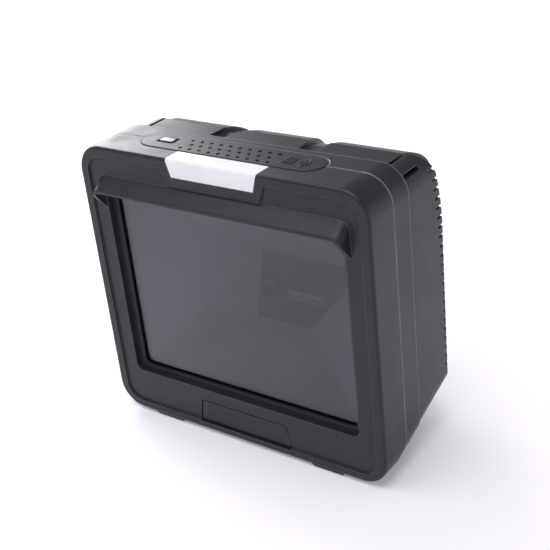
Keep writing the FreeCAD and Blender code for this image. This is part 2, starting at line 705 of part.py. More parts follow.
def lamp_diffuser():
    """Diffuser plate with a level groove across its front."""
    front = HOUSING_Y[0] - 0.6
    groove = 0.4
    plate = box(LAMP_X, (front, HOUSING_Y[0] + 1.2), (LAMP_Z - LAMP_HALF, LAMP_Z + LAMP_HALF))
    split = box((LAMP_X[0] - 1, LAMP_X[1] + 1), (front - 1, front + groove),
                (LAMP_Z - groove, LAMP_Z + groove))
    return plate.cut(split)


# ---- indicator ----------------------------------------------------------------------------
INDICATOR_Y = (5.0, 6.0)
INDICATOR_HALF = 22.0
INDICATOR_Z = (125.6, 131.8)
INDICATOR_COUNT = 5
INDICATOR_PITCH = 8.8
LED_HALF = (1.4, 0.7)        # half width and thickness of the indicator's chips
LED_Z = (127.6, 130.4)
LIP_HALF = 23.0              # lip that holds the lens behind the face
LIP_Y = (FACE_THICKNESS, FACE_THICKNESS + 0.8)
LIP_Z = (126.2, 131.8)
NECK_LOW = (20.6, LENS_LOW_Z + 0.3)
NECK_TOP = (21.0, 131.6)


def indicator_lens():
    hollow = box((-2 * PAST, 2 * PAST), (LENS_THICK, DEPTH), (0, HEIGHT - LENS_THICK))
    lens = lens_form(0).cut(hollow)
    lip = box((-LIP_HALF, LIP_HALF), LIP_Y, LIP_Z)
    neck = prism(trapezoid(NECK_LOW, NECK_TOP, LENS_THICK - 0.1),
                 (0, FACE_THICKNESS - LENS_THICK + 0.2, 0))
    return fuse(lens, neck, lip)


def indicator_board():
    return box((-INDICATOR_HALF, INDICATOR_HALF), INDICATOR_Y, INDICATOR_Z)


def indicator_leds():
    half, thick = LED_HALF
    chips = []
    for i in range(INDICATOR_COUNT):
        x = (i - (INDICATOR_COUNT - 1) / 2) * INDICATOR_PITCH
        chips.append(box((x - half, x + half), (INDICATOR_Y[0] - thick, INDICATOR_Y[0]), LED_Z))
    return Part.makeCompound(chips)


# ---- top panel, speaker and key -----------------------------------------------------------
PANEL_UNDER = HEIGHT - WALL - 1.2
KEY_HALF = (3.7, 2.1)
KEY_TOP = HEIGHT + PANEL_RISE + 0.35


def upright_block(half, radius, z, centre=(KEY_X, KEY_Y)):
    """Block with rounded upright edges, given by its half sizes in X and Y."""
    block = box((-half[0], half[0]), (-half[1], half[1]), z)
    upright = [e for e in block.Edges if e.BoundBox.ZLength > 0.5 * (z[1] - z[0])]
    block = block.makeFillet(radius, upright)
    block.translate(V(centre[0], centre[1], 0))
    return block


def hole_grid():
    """Speaker holes in three staggered rows of 10, 9 and 10."""
    row_gap = HOLE_PITCH * math.sqrt(0.75)
    holes = []
    for row, count in ((-1, 10), (0, 9), (1, 10)):
        for i in range(count):
            x = HOLE_X + (i - (count - 1) / 2) * HOLE_PITCH
            holes.append(rod_z(x, HOLE_Y + row * row_gap, HOLE_R, PANEL_UNDER - 1, HEIGHT + 1))
    return holes


def scan_mark():
    """Raised generic mark: short bars and three arcs."""
    low, top = HEIGHT + PANEL_RISE - 0.1, HEIGHT + PANEL_RISE + 0.25
    left, near, far = 26.2, 14.4, 20.6
    bars = []
    for offset, width in ((0, 0.9), (1.6, 0.5), (2.8, 0.9), (4.3, 0.5)):
        bars.append(box((left + offset, left + offset + width), (near, far), (low, top)))
    arcs = []
    for radius in (1.6, 3.4, 5.2):
        ring = Part.makeCylinder(radius + 0.4, top - low, V(left + 6.2, HOLE_Y + 0.7, low),
                                 V(0, 0, 1), 100)
        ring = ring.cut(Part.makeCylinder(radius - 0.4, top, V(left + 6.2, HOLE_Y + 0.7, 0)))
        ring.rotate(V(left + 6.2, HOLE_Y + 0.7, low), V(0, 0, 1), -50)
        arcs.append(ring)
    return bars + arcs


def top_panel():
    plate = stadium(PANEL_HALF, PANEL_R, (HEIGHT - WALL - 0.1, HEIGHT + PANEL_RISE))
    rim = [e for e in plate.Edges if e.BoundBox.ZMin > HEIGHT]
    plate = plate.makeFillet(0.25, rim)
    flange = stadium(PANEL_HALF + 1.2, PANEL_R + 1.2, (PANEL_UNDER, HEIGHT - WALL - 0.1))
    panel = plate.fuse(flange).multiFuse(scan_mark())
    panel = panel.cut(Part.makeCompound(hole_grid()))
    pocket = upright_block((4.7, 2.9), 0.8, (HEIGHT + PANEL_RISE - 0.9, HEIGHT + 2))
    slot = upright_block((KEY_HALF[0] + 0.2, KEY_HALF[1] + 0.2), 0.7, (PANEL_UNDER - 1, HEIGHT))
    return panel.cut(pocket).cut(slot).removeSplitter()


def function_button():
    stop = PANEL_UNDER - 0.1
    cap = upright_block(KEY_HALF, 0.5, (stop - 0.5, KEY_TOP))
    rim = [e for e in cap.Edges if e.BoundBox.ZMin > KEY_TOP - 1e-3]
    flange = upright_block((KEY_HALF[0] + 0.9, KEY_HALF[1] + 0.9), 0.8, (stop - 1.0, stop))
    return cap.makeChamfer(0.25, rim).fuse(flange)


PLUNGER_TOP = PANEL_UNDER - 1.1
SWITCH_TOP = PLUNGER_TOP - KEY_TRAVEL - 0.3     # the pressed key stays clear of the switch body
BUTTON_BOARD_Z = (SWITCH_TOP - 4.6, SWITCH_TOP - 3.4)


def switch_plunger():
    return rod_z(KEY_X, KEY_Y, 1.4, SWITCH_TOP - 1.2, PLUNGER_TOP)


def button_switch():
    body = upright_block((3.0, 3.0), 0.3, (BUTTON_BOARD_Z[1], SWITCH_TOP))
    return body.cut(rod_z(KEY_X, KEY_Y, 1.7, SWITCH_TOP - 2.2, SWITCH_TOP + 1))


def button_board():
    return upright_block((8.5, 8.0), 1.0, BUTTON_BOARD_Z, (KEY_X, PANEL_Y))


SPEAKER_TOP = PANEL_UNDER - 0.3


def speaker_mesh():
    return box((-25.5, 25.5), (HOLE_Y - 7, HOLE_Y + 7), (SPEAKER_TOP, PANEL_UNDER))


def speaker_basket():
    rim = rod_z(0, SPEAKER_Y, SPEAKER_R, SPEAKER_TOP - 1.2, SPEAKER_TOP)
    cup = Part.makeCone(6.0, SPEAKER_R - 0.6, 3.4, V(0, SPEAKER_Y, SPEAKER_TOP - 4.6), V(0, 0, 1))
    hollow = Part.makeCone(5.0, SPEAKER_R - 1.6, 3.4, V(0, SPEAKER_Y, SPEAKER_TOP - 4.4), V(0, 0, 1))
    mouth = rod_z(0, SPEAKER_Y, SPEAKER_R - 1.6, SPEAKER_TOP - 1.0, SPEAKER_TOP + 1)
    return rim.fuse(cup).cut(hollow).cut(mouth).removeSplitter()


def speaker_cone():
    outer = Part.makeCone(2.0, SPEAKER_R - 2.2, 2.4, V(0, SPEAKER_Y, SPEAKER_TOP - 3.2), V(0, 0, 1))
    inner = Part.makeCone(1.6, SPEAKER_R - 2.6, 2.4, V(0, SPEAKER_Y, SPEAKER_TOP - 2.9), V(0, 0, 1))
    return outer.cut(inner)


def speaker_magnet():
    return rod_z(0, SPEAKER_Y, 5.8, SPEAKER_TOP - 7.6, SPEAKER_TOP - 4.6)


# ---- main board and socket ----------------------------------------------------------------
BOARD_Y = (52.2, 53.8)
BOARD_Z = (35.0, 92.0)
HEADER_FRONT_Y = BOARD_Y[0] - 2.5


def main_board():
    board = box((-30, 30), BOARD_Y, BOARD_Z)
    holes = [rod_y(x, z, 1.2, BOARD_Y[0] - 1, BOARD_Y[1] + 1) for x, z in BOARD_SCREWS]
    return board.cut(Part.makeCompound(holes))


def board_chips():
    """Chips on the board's front, clear of the camera board."""
    places = [(-22, 82, 3.5), (4, 84.5, 4.0), (-26, 64, 2.5)]
    chips = []
    for x, z, half in places:
        chips.append(box((x - half, x + half), (BOARD_Y[0] - 1.1, BOARD_Y[0]), (z - half, z + half)))
    return Part.makeCompound(chips)


def board_connectors():
    """Header for the socket leads and header for the indicator ribbon."""
    low = box((-29.5, -24.5), (BOARD_Y[0] - 4.0, BOARD_Y[0]), (45.0, 57.0))
    slot = box((-28.5, -25.5), (BOARD_Y[0] - 5.0, BOARD_Y[0] - 1.0), (46.0, 56.0))
    high = box((12.0, 23.0), (HEADER_FRONT_Y, BOARD_Y[0]), (82.0, 85.0))
    return Part.makeCompound([low.cut(slot), high])


def interface_socket():
    body = box((-SOCKET_HALF, SOCKET_HALF), (DEPTH - 13.7, DEPTH), (SOCKET_LOW, SOCKET_TOP))
    mouth = box((-5.9, 5.9), (DEPTH - 11.5, DEPTH + 1), (SOCKET_LOW + 3.0, SOCKET_LOW + 10.0))
    latch = box((-3.1, 3.1), (DEPTH - 11.5, DEPTH + 1), (SOCKET_LOW + 9.0, SOCKET_LOW + 11.6))
    return body.cut(mouth).cut(latch)


def socket_contacts():
    """Sprung contact wires along the floor of the socket."""
    wires = []
    for i in range(8):
        x = (i - 3.5) * 1.02
        wires.append(box((x - 0.2, x + 0.2), (DEPTH - 11.5, DEPTH - 3.0),
                         (SOCKET_LOW + 3.0, SOCKET_LOW + 3.4)))
    return Part.makeCompound(wires)


def ribbon_cable():
    """Flat ribbon from the board's top header over the funnel to the indicator board."""
    x0, x1 = 14.0, 21.0
    thick = 0.4
    route = [(HEADER_FRONT_Y - thick, 83.5), (HEADER_FRONT_Y - 3.5, 88.0), (31.0, 112.0), (13.5, 122.3),
             (8.5, 124.0), (6.4, 126.5), (6.4, 129.5)]
    upper = [(x0, y + thick, z + thick) for y, z in reversed(route)]
    lower = [(x0, y, z) for y, z in route]
    strip = prism(lower + upper, (x1 - x0, 0, 0))
    return strip.cut(box((0, 40), (0, INDICATOR_Y[1]), (120, 140)))


# ---- mounting and small parts -------------------------------------------------------------
def mount_inserts():
    """Threaded brass inserts, each with a waist, for a wall bracket or stand."""
    front = DEPTH - INSERT_DEPTH
    waist_y = (front + 2.8, front + 3.8)
    group = []
    for x in (INSERT_X, -INSERT_X):
        for z in INSERT_Z:
            body = rod_y(x, z, INSERT_R, front, DEPTH - 0.2)
            waist = rod_y(x, z, INSERT_R + 1, *waist_y)
            waist = waist.cut(rod_y(x, z, INSERT_R - 0.4, front + 2, front + 5))
            bore = rod_y(x, z, INSERT_BORE_R, front - 1, DEPTH)
            group.append(body.cut(waist).cut(bore))
    return Part.makeCompound(group)


def front_feet():
    feet = []
    for side in (-1, 1):
        centre = (side * FOOT_X, FRONT_FOOT_Y)
        pad = upright_block(FRONT_FOOT_HALF, 2.4, (-FOOT_DROP, FRONT_FOOT_TOP), centre)
        rim = [e for e in pad.Edges if e.BoundBox.ZMax < -FOOT_DROP + 1e-3]
        feet.append(pad.makeFillet(0.7, rim))
    return Part.makeCompound(feet)


def rear_feet():
    feet = []
    for side in (-1, 1):
        pad = rod_z(side * FOOT_X, REAR_FOOT_Y, REAR_FOOT_R, -FOOT_DROP, REAR_FOOT_TOP)
        rim = [e for e in pad.Edges if e.BoundBox.ZMax < -FOOT_DROP + 1e-3]
        feet.append(pad.makeFillet(0.5, rim))
    return Part.makeCompound(feet)


def rating_label():
    margin = 0.2
    return box((LABEL_X[0] + margin, LABEL_X[1] - margin), (DEPTH - LABEL_DEPTH, DEPTH - 0.1),
               (LABEL_Z[0] + margin, LABEL_Z[1] - margin))


def pieces():
    """Every node's name and solid."""
    return {
        "front_bezel": front_bezel(),
        "middle_shell": middle_shell(),
        "rear_cover": rear_cover(),
        "window_frame": window_frame(),
        "window_gasket": window_gasket(),
        "window_glass": window_glass(),
        "optical_funnel": optical_funnel(),
        "camera_housing": camera_housing(),
        "lens_barrel": lens_barrel(),
        "camera_lens": camera_lens(),
        "image_sensor": image_sensor(),
        "sensor_board": sensor_board(),
        "lamp_board": lamp_board(),
        "lamp_leds": lamp_leds(),
        "lamp_diffuser": lamp_diffuser(),
        "indicator_lens": indicator_lens(),
        "indicator_board": indicator_board(),
        "indicator_leds": indicator_leds(),
        "top_panel": top_panel(),
        "function_button": function_button(),
        "switch_plunger": switch_plunger(),
        "button_switch": button_switch(),
        "button_board": button_board(),
        "speaker_mesh": speaker_mesh(),
        "speaker_basket": speaker_basket(),
        "speaker_cone": speaker_cone(),
        "speaker_magnet": speaker_magnet(),
        "main_board": main_board(),
        "board_chips": board_chips(),
        "board_connectors": board_connectors(),
        "interface_socket": interface_socket(),
        "socket_contacts": socket_contacts(),
        "ribbon_cable": ribbon_cable(),
        "mount_inserts": mount_inserts(),
        "case_screws": pan_screws(CASE_SCREWS, CASE_HEAD_Y, CASE_SCREW),
        "funnel_screws": pan_screws(FUNNEL_SCREWS, FLANGE_Y[1], FUNNEL_SCREW),
        "board_screws": pan_screws(BOARD_SCREWS, BOARD_Y[0], BOARD_SCREW, backward=True),
        "front_feet": front_feet(),
        "rear_feet": rear_feet(),
        "rating_label": rating_label(),
    }


os.makedirs("parts", exist_ok=True)
for name, shape in pieces().items():
    store(name, shape)
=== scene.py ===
import json
import math

import bmesh
import bpy
from mathutils import Matrix, Vector


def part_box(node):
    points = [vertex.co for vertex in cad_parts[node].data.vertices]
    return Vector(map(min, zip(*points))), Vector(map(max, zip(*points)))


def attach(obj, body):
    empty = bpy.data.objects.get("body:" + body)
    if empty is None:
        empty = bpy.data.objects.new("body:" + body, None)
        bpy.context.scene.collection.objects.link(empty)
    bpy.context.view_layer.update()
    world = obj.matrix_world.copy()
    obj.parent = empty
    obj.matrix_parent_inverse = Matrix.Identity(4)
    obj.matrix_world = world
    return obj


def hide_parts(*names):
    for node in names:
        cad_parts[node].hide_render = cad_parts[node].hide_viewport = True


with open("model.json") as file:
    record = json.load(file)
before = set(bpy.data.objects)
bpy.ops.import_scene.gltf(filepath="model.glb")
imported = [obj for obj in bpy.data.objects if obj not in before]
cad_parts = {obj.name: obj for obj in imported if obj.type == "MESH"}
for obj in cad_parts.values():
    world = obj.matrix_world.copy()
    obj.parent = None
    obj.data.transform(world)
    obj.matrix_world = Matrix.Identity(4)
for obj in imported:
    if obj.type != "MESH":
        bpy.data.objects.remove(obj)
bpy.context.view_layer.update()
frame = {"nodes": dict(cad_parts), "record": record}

MM = 0.001
nodes = frame["nodes"]
scene = bpy.context.scene


# ---- camera -------------------------------------------------------------------------------
CAMERA_AZIMUTH = 38.16
CAMERA_ELEVATION = 26.82
CAMERA_ROLL = -6.39
CAMERA_DISTANCE = 455.5 * MM
CAMERA_LENS = 73.15
CAMERA_SENSOR = 36.0
CAMERA_CLIP = 0.01
CAMERA_TARGET = Vector((27.9, -34.25, 93.4)) * MM


def add_camera():
    """Camera in front of the object, to its right and above it, rolled a little."""
    data = bpy.data.cameras.new("camera")
    data.lens = CAMERA_LENS
    data.sensor_width = CAMERA_SENSOR
    data.clip_start = CAMERA_CLIP
    camera = bpy.data.objects.new("camera", data)
    scene.collection.objects.link(camera)
    azimuth = math.radians(CAMERA_AZIMUTH)
    elevation = math.radians(CAMERA_ELEVATION)
    level = math.cos(elevation)
    back = Vector((math.sin(azimuth) * level, -math.cos(azimuth) * level, math.sin(elevation)))
    turn = back.to_track_quat("Z", "Y").to_matrix()
    turn = turn @ Matrix.Rotation(math.radians(CAMERA_ROLL), 3, "Z")
    camera.matrix_world = Matrix.Translation(CAMERA_TARGET + back * CAMERA_DISTANCE) @ turn.to_4x4()
    scene.camera = camera


add_camera()


# ---- light --------------------------------------------------------------------------------
WORLD_STRENGTH = (1.1, 0.26)     # at the horizon and overhead
HORIZON_BAND = 0.22               # height of the brighter band, as the sine of its elevation
WORLD_TINT = (1.0, 0.945, 1.06, 1.0)
LAMP_TINT = (1.0, 0.975, 1.015)
AIM = Vector((0.0, 0.0, 0.09))   # what the lamps point at
SOFTBOXES = [
    # name, azimuth and elevation in degrees, distance and size in metres, power in watts
    ("softbox_left_rear", 63.0, 20.0, 1.2, (0.74, 0.5), 9.4),
    ("softbox_overhead", 160.0, 78.0, 1.25, (1.3, 1.3), 15.0),
    ("softbox_right", 255.0, 12.0, 1.0, (0.3, 0.5), 0.3),
]


def add_softbox(name, azimuth, elevation, distance, size, power):
    """Soft light aimed at the object. Azimuth runs from behind it (0) round to its left (90)."""
    data = bpy.data.lights.new(name, "AREA")
    data.shape = "RECTANGLE"
    data.size, data.size_y = size
    data.energy = power
    data.color = LAMP_TINT
    lamp = bpy.data.objects.new(name, data)
    scene.collection.objects.link(lamp)
    around = math.radians(azimuth)
    up = math.radians(elevation)
    toward = Vector((-math.sin(around) * math.cos(up), math.cos(around) * math.cos(up), math.sin(up)))
    lamp.location = AIM + toward * distance
    lamp.rotation_euler = (-toward).to_track_quat("-Z", "Y").to_euler()


def add_world():
    """White surroundings, brighter towards the horizon as in a studio sweep."""
    world = bpy.data.worlds.new("studio")
    world.use_nodes = True
    tree = world.node_tree
    background = tree.nodes["Background"]
    direction = tree.nodes.new("ShaderNodeTexCoord")
    height = tree.nodes.new("ShaderNodeSeparateXYZ")
    strength = tree.nodes.new("ShaderNodeMapRange")
    strength.inputs["From Max"].default_value = HORIZON_BAND
    strength.inputs["To Min"].default_value = WORLD_STRENGTH[0]
    strength.inputs["To Max"].default_value = WORLD_STRENGTH[1]
    tree.links.new(direction.outputs["Generated"], height.inputs["Vector"])
    tree.links.new(height.outputs["Z"], strength.inputs["Value"])
    tree.links.new(strength.outputs["Result"], background.inputs["Strength"])
    background.inputs["Color"].default_value = WORLD_TINT
    scene.world = world
    scene.view_settings.view_transform = "Standard"


add_world()
for softbox in SOFTBOXES:
    add_softbox(*softbox)


# ---- materials ----------------------------------------------------------------------------
BEVEL_SAMPLES = 4
EDGE_FACING = (0.995, 0.86)      # cosine of the normal's turn where an edge starts and where it is full
EDGE_BREAKUP = 4.0 * MM
EDGE_LEAST = 0.35                # what the breakup leaves of an edge where it is faintest
EDGE_POLISH = 0.1                # edges are this much less rough
GLOSS_PATCH = 0.4                # gloss patches, as a share of the colour patches' size
WAVE_PERIOD = math.pi / 10.0     # size of one band of a wave texture at scale 1


class Shader:
    """A node material around one Principled shader."""

    def __init__(self, name):
        self.material = bpy.data.materials.new(name)
        self.material.use_nodes = True
        self.tree = self.material.node_tree
        self.shader = self.tree.nodes["Principled BSDF"]
        self.coordinates = self.tree.nodes.new("ShaderNodeTexCoord").outputs["Object"]

    def add(self, kind, **settings):
        node = self.tree.nodes.new(kind)
        for key, value in settings.items():
            setattr(node, key, value)
        return node

    def link(self, output, target):
        self.tree.links.new(output, target)

    def set(self, **values):
        for key, value in values.items():
            self.shader.inputs[key.replace("_", " ")].default_value = value

    def noise(self, size, detail=3.0, rough=0.55, stretch=(1.0, 1.0, 1.0)):
        """Noise whose grains are about size metres across."""
        node = self.add("ShaderNodeTexNoise")
        node.inputs["Scale"].default_value = 1.0
        node.inputs["Detail"].default_value = detail
        node.inputs["Roughness"].default_value = rough
        mapping = self.add("ShaderNodeMapping")
        mapping.inputs["Scale"].default_value = [part / size for part in stretch]
        self.link(self.coordinates, mapping.inputs["Vector"])
        self.link(mapping.outputs["Vector"], node.inputs["Vector"])
        return node.outputs["Fac"]

    def wave(self, size, direction):
        """Even bands size metres apart, across one direction."""
        node = self.add("ShaderNodeTexWave", bands_direction=direction)
        node.inputs["Scale"].default_value = WAVE_PERIOD / size
        self.link(self.coordinates, node.inputs["Vector"])
        return node.outputs["Fac"]

    def ramp(self, source, low, high, start=0.3, end=0.7):
        """Maps source from start..end to low..high."""
        node = self.add("ShaderNodeMapRange")
        node.inputs["From Min"].default_value = start
        node.inputs["From Max"].default_value = end
        node.inputs["To Min"].default_value = low
        node.inputs["To Max"].default_value = high
        self.link(source, node.inputs["Value"])
        return node.outputs["Result"]

    def math(self, operation, first, second):
        node = self.add("ShaderNodeMath", operation=operation)
        for socket, value in zip(node.inputs, (first, second)):
            if isinstance(value, bpy.types.NodeSocket):
                self.link(value, socket)
            else:
                socket.default_value = value
        return node.outputs["Value"]

    def blend(self, factor, first, second):
        """Colour mixed from first to second by factor."""
        node = self.add("ShaderNodeMix", data_type="RGBA")
        self.link(factor, node.inputs["Factor"])
        for socket, value in ((node.inputs[6], first), (node.inputs[7], second)):
            if isinstance(value, bpy.types.NodeSocket):
                self.link(value, socket)
            else:
                socket.default_value = (*value, 1.0)
        return node.outputs[2]

    def rounded(self, radius):
        """Normal that rounds sharp edges over radius metres."""
        node = self.add("ShaderNodeBevel", samples=BEVEL_SAMPLES)
        node.inputs["Radius"].default_value = radius
        return node.outputs["Normal"]

    def edges(self, rounded):
        """1 along edges and 0 on flat faces, broken up by fine noise."""
        face = self.add("ShaderNodeNewGeometry")
        facing = self.add("ShaderNodeVectorMath", operation="DOT_PRODUCT")
        self.link(rounded, facing.inputs[0])
        self.link(face.outputs["Normal"], facing.inputs[1])
        edge = self.ramp(facing.outputs["Value"], 0.0, 1.0, *EDGE_FACING)
        return self.math("MULTIPLY", edge, self.ramp(self.noise(EDGE_BREAKUP), EDGE_LEAST, 1.0))

    def bump(self, height, depth, normal=None):
        node = self.add("ShaderNodeBump")
        node.inputs["Distance"].default_value = depth
        self.link(height, node.inputs["Height"])
        if normal is not None:
            self.link(normal, node.inputs["Normal"])
        self.link(node.outputs["Normal"], self.shader.inputs["Normal"])


def plastic(name, dark, light, grain, depth, rough, patch=20.0 * MM, wear_and_highlight=None, edge=0.4 * MM):
    """Moulded material: fine grain, slow colour change, uneven gloss and polished edges, lightened
    partly by wear and partly by a painted highlight.
    """
    made = Shader(name)
    colour = made.blend(made.ramp(made.noise(patch), 0.0, 1.0), dark, light)
    gloss = made.ramp(made.noise(patch * GLOSS_PATCH), *rough)
    normal = None
    if wear_and_highlight:
        normal = made.rounded(edge)
        edges = made.edges(normal)
        # Edges take a paler colour: partly wear, partly a painted highlight where the edge catches the
        # light.
        colour = made.blend(edges, colour, wear_and_highlight)
        gloss = made.math("SUBTRACT", gloss, made.math("MULTIPLY", edges, EDGE_POLISH))
    made.link(colour, made.shader.inputs["Base Color"])
    made.link(gloss, made.shader.inputs["Roughness"])
    made.bump(made.noise(grain, detail=2.0), depth, normal)
    return made


def case_material(name, edge, wear_and_highlight):
    """Semi-gloss charcoal plastic with a spark-eroded grain."""
    made = plastic(name, dark=(0.0195, 0.0175, 0.0225), light=(0.0255, 0.023, 0.029),
                   grain=0.35 * MM, depth=0.018 * MM, rough=(0.33, 0.42), wear_and_highlight=wear_and_highlight, edge=edge)
    made.set(Specular_IOR_Level=0.32)
    return made.material


def panel_material():
    """Coarser grain of the top panel."""
    made = plastic("panel_plastic", dark=(0.010, 0.0095, 0.012), light=(0.015, 0.014, 0.0175),
                   grain=0.6 * MM, depth=0.05 * MM, rough=(0.34, 0.42), wear_and_highlight=(0.10, 0.095, 0.11),
                   edge=0.25 * MM)
    made.set(Specular_IOR_Level=0.36)
    return made.material


def lens_material():
    """Milky white lens."""
    made = plastic("white_lens", dark=(0.84, 0.84, 0.86), light=(0.90, 0.90, 0.92),
                   grain=4.0 * MM, depth=0.004 * MM, rough=(0.16, 0.22))
    made.set(Subsurface_Weight=0.15, Subsurface_Scale=2.0 * MM)
    return made.material


TARNISH_PATCH = 1.2 * MM
TURNING_MARK = 0.2 * MM
TURNING_DEPTH = 0.006 * MM


def metal(name, dark, light, rough, stretch=(1.0, 1.0, 1.0)):
    """Bright metal with fine turning marks and slight tarnish."""
    made = Shader(name)
    made.set(Metallic=1.0)
    colour = made.blend(made.ramp(made.noise(TARNISH_PATCH), 0.0, 1.0), dark, light)
    made.link(colour, made.shader.inputs["Base Color"])
    marks = made.noise(TURNING_MARK, detail=2.0, rough=0.5, stretch=stretch)
    made.link(made.ramp(marks, *rough), made.shader.inputs["Roughness"])
    made.bump(marks, TURNING_DEPTH)
    return made.material


def window_material():
    """Tinted window: a clear smoky sheet whose tint drifts slightly."""
    made = Shader("window_tint")
    drift = made.noise(40.0 * MM, detail=4.0)
    tint = made.blend(drift, (0.455, 0.45, 0.495), (0.485, 0.48, 0.525))
    made.link(tint, made.shader.inputs["Base Color"])
    made.set(Roughness=0.0, IOR=1.49, Transmission_Weight=1.0)
    return made.material


def threaded(made, pattern, dark, light, rough, depth):
    """Finishes cloth or ribbon whose colour and relief follow one pattern."""
    made.link(made.blend(pattern, dark, light), made.shader.inputs["Base Color"])
    made.set(Roughness=rough)
    made.bump(pattern, depth)
    return made.material


def woven_material():
    """Fine woven cloth behind the speaker holes."""
    made = Shader("speaker_cloth")
    thread = 0.4 * MM
    threads = made.math("MULTIPLY", made.wave(thread, "X"), made.wave(thread, "Y"))
    return threaded(made, threads, dark=(0.004, 0.004, 0.004), light=(0.03, 0.03, 0.032),
                    rough=0.85, depth=0.1 * MM)


def ribbon_material():
    """White ribbon cable with a ridge over each conductor."""
    made = Shader("ribbon_white")
    pitch = 0.5 * MM
    # The colour is darker in the grooves between the ridges: painted shade.
    return threaded(made, made.wave(pitch, "X"), dark=(0.45, 0.46, 0.48), light=(0.78, 0.79, 0.80),
                    rough=0.42, depth=0.1 * MM)


BOARD_LOOK = {
    "Scale": 190.0,
    "Mortar Size": 0.03,
    "Color1": (0.010, 0.075, 0.034, 1.0),
    "Color2": (0.014, 0.092, 0.042, 1.0),
    "Mortar": (0.05, 0.16, 0.06, 1.0),
}
BOARD_ROUGH = (0.28, 0.4)
BOARD_GLOSS_PATCH = 2.0 * MM
TRACK_DEPTH = 0.02 * MM


def board_material():
    """Green circuit board with copper tracks just showing under the mask."""
    made = Shader("circuit_board")
    tracks = made.add("ShaderNodeTexBrick")
    for socket, value in BOARD_LOOK.items():
        tracks.inputs[socket].default_value = value
    made.link(made.coordinates, tracks.inputs["Vector"])
    made.link(tracks.outputs["Color"], made.shader.inputs["Base Color"])
    gloss = made.ramp(made.noise(BOARD_GLOSS_PATCH), *BOARD_ROUGH)
    made.link(gloss, made.shader.inputs["Roughness"])
    made.bump(tracks.outputs["Fac"], TRACK_DEPTH)
    return made.material


PLASTICS = {
    "key_plastic": dict(dark=(0.016, 0.015, 0.018), light=(0.022, 0.021, 0.024), grain=0.8 * MM,
                        depth=0.008 * MM, rough=(0.1, 0.18), wear_and_highlight=(0.05, 0.05, 0.055), edge=0.3 * MM),
    "frame_plastic": dict(dark=(0.030, 0.027, 0.034), light=(0.038, 0.034, 0.042), grain=0.6 * MM,
                          depth=0.01 * MM, rough=(0.3, 0.4), wear_and_highlight=(0.10, 0.095, 0.11), edge=0.3 * MM),
    "funnel_plastic": dict(dark=(0.33, 0.32, 0.37), light=(0.41, 0.40, 0.45), grain=4.0 * MM,
                           depth=0.004 * MM, rough=(0.4, 0.5), patch=50.0 * MM),
    "black_plastic": dict(dark=(0.010, 0.010, 0.011), light=(0.016, 0.016, 0.017), grain=0.6 * MM,
                          depth=0.004 * MM, rough=(0.4, 0.5), wear_and_highlight=(0.03, 0.03, 0.032), edge=0.2 * MM),
    "clear_lens": dict(dark=(0.020, 0.016, 0.035), light=(0.028, 0.024, 0.05), grain=2.0 * MM,
                       depth=0.001 * MM, rough=(0.02, 0.05), patch=4.0 * MM),
    "chip_black": dict(dark=(0.012, 0.012, 0.013), light=(0.018, 0.018, 0.019), grain=0.3 * MM,
                       depth=0.01 * MM, rough=(0.5, 0.62), patch=4.0 * MM),
    "led_white": dict(dark=(0.78, 0.78, 0.66), light=(0.86, 0.86, 0.74), grain=0.8 * MM,
                      depth=0.01 * MM, rough=(0.2, 0.3), patch=3.0 * MM),
    "diffuser": dict(dark=(0.10, 0.10, 0.115), light=(0.13, 0.13, 0.145), grain=0.8 * MM,
                     depth=0.01 * MM, rough=(0.3, 0.4), patch=6.0 * MM),
    "connector_white": dict(dark=(0.62, 0.61, 0.57), light=(0.70, 0.69, 0.65), grain=0.8 * MM,
                            depth=0.01 * MM, rough=(0.35, 0.45), patch=6.0 * MM),
    "rubber": dict(dark=(0.010, 0.010, 0.010), light=(0.016, 0.016, 0.016), grain=0.4 * MM,
                   depth=0.04 * MM, rough=(0.68, 0.85), wear_and_highlight=(0.03, 0.03, 0.03)),
    "speaker_paper": dict(dark=(0.030, 0.029, 0.027), light=(0.045, 0.044, 0.041), grain=0.5 * MM,
                          depth=0.04 * MM, rough=(0.75, 0.9), patch=4.0 * MM),
    "label_film": dict(dark=(0.40, 0.40, 0.41), light=(0.47, 0.47, 0.48), grain=0.6 * MM,
                       depth=0.01 * MM, rough=(0.28, 0.4), patch=8.0 * MM, wear_and_highlight=(0.55, 0.55, 0.55),
                       edge=0.3 * MM),
}
METALS = {
    "screw_steel": dict(dark=(0.17, 0.17, 0.18), light=(0.30, 0.30, 0.31), rough=(0.24, 0.4)),
    "magnet": dict(dark=(0.30, 0.30, 0.31), light=(0.40, 0.40, 0.41), rough=(0.3, 0.5)),
    "brass_insert": dict(dark=(0.50, 0.34, 0.13), light=(0.66, 0.47, 0.2), rough=(0.2, 0.36)),
    "contact_metal": dict(dark=(0.75, 0.56, 0.22), light=(0.85, 0.66, 0.3), rough=(0.15, 0.28),
                          stretch=(1.0, 0.1, 1.0)),
}
FINISH = {slot: plastic(slot, **look).material for slot, look in PLASTICS.items()}
FINISH.update({slot: metal(slot, **look) for slot, look in METALS.items()})
FINISH.update({
    "case_plastic": case_material("case_plastic", edge=0.4 * MM, wear_and_highlight=(0.22, 0.21, 0.23)),
    "panel_plastic": panel_material(),
    "white_lens": lens_material(),
    "window": window_material(),
    "speaker_cloth": woven_material(),
    "ribbon_white": ribbon_material(),
    "circuit_board": board_material(),
})
# Painted highlight: the middle shell has broader, paler edges than the rest of the case, standing in for
# the bright line along its rear edge.
SHELL_PAINTED_HIGHLIGHT = case_material("shell_plastic_painted_highlight", edge=1.2 * MM, wear_and_highlight=(0.60, 0.59, 0.62))

slots = {row["node"]: row["material_slot"] for row in frame["record"]["subparts"]}
for name, piece in nodes.items():
    piece.data.materials.clear()
    piece.data.materials.append(SHELL_PAINTED_HIGHLIGHT if name == "middle_shell" else FINISH[slots[name]])


